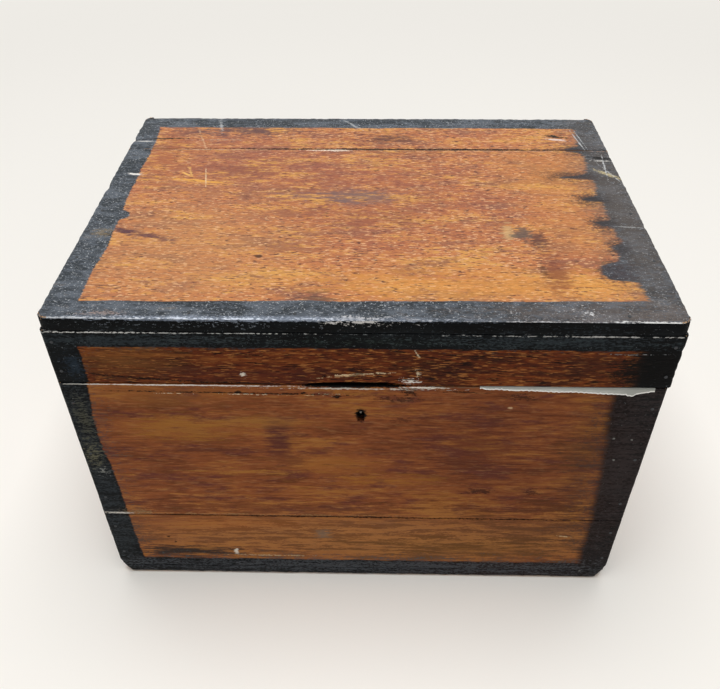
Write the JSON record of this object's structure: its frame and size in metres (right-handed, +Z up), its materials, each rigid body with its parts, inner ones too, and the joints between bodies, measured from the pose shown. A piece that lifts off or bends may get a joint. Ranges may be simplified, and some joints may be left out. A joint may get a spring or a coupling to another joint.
{
  "type": "wooden chest",
  "caption": "Boarded wooden chest with a flat hinged lid, butt hinges at the back, a box lock with a keyhole in the front, and dark painted borders.",
  "frame": {"origin": "middle of the underside, on the surface that the chest stands on", "axes": "+Z up, +X along the front to the right, the front with its keyhole faces -Y and the hinges are at +Y"},
  "size_m": [0.46, 0.3438, 0.3092],
  "materials": {
    "varnished_wood": "aged brown varnish over softwood, with black painted borders",
    "black_iron": "dark forged iron with a little rust",
    "worn_steel": "dull worn steel",
    "lining_paper": "matt yellowed lining paper, torn at the edge"
  },
  "bodies": {
    "case": {"floor_front_board": "varnished_wood", "floor_rear_board": "varnished_wood", "front_lower_board": "varnished_wood", "back_lower_board": "varnished_wood", "left_lower_board": "varnished_wood", "right_lower_board": "varnished_wood", "front_upper_board": "varnished_wood", "back_upper_board": "varnished_wood", "left_upper_board": "varnished_wood", "right_upper_board": "varnished_wood", "left_hinge_case_leaf": "black_iron", "right_hinge_case_leaf": "black_iron", "lock_plate": "black_iron", "lock_cap": "black_iron", "left_hinge_case_screw_1": "worn_steel", "left_hinge_case_screw_2": "worn_steel", "left_hinge_case_screw_3": "worn_steel", "right_hinge_case_screw_1": "worn_steel", "right_hinge_case_screw_2": "worn_steel", "right_hinge_case_screw_3": "worn_steel", "left_hinge_pin": "worn_steel", "right_hinge_pin": "worn_steel", "lock_screw_1": "worn_steel", "lock_screw_2": "worn_steel", "lock_screw_3": "worn_steel", "lock_screw_4": "worn_steel", "bolt_guide_stud_left": "worn_steel", "bolt_guide_stud_right": "worn_steel", "lock_drill_pin": "worn_steel", "lock_spring": "worn_steel", "front_lining_paper": "lining_paper"},
    "lid": {"lid_front_rail": "varnished_wood", "lid_back_rail": "varnished_wood", "lid_left_rail": "varnished_wood", "lid_right_rail": "varnished_wood", "lid_top_front_board": "varnished_wood", "lid_top_rear_board": "varnished_wood", "left_hinge_lid_leaf": "black_iron", "right_hinge_lid_leaf": "black_iron", "link_plate": "black_iron", "left_hinge_lid_screw_1": "worn_steel", "left_hinge_lid_screw_2": "worn_steel", "left_hinge_lid_screw_3": "worn_steel", "right_hinge_lid_screw_1": "worn_steel", "right_hinge_lid_screw_2": "worn_steel", "right_hinge_lid_screw_3": "worn_steel", "link_screw_left": "worn_steel", "link_screw_right": "worn_steel"},
    "lock_bolt": {"lock_bolt": "worn_steel"}
  },
  "joints": [
    {"name": "lid_hinge", "type": "hinge", "parent": "case", "child": "lid", "pos_m": [0, 0.1718, 0.24745], "axis": [-1, 0, 0], "range_deg": [0, 180]},
    {"name": "bolt_slide", "type": "slide", "parent": "case", "child": "lock_bolt", "axis": [1, 0, 0], "range_m": [0, 0.006]}
  ]
}
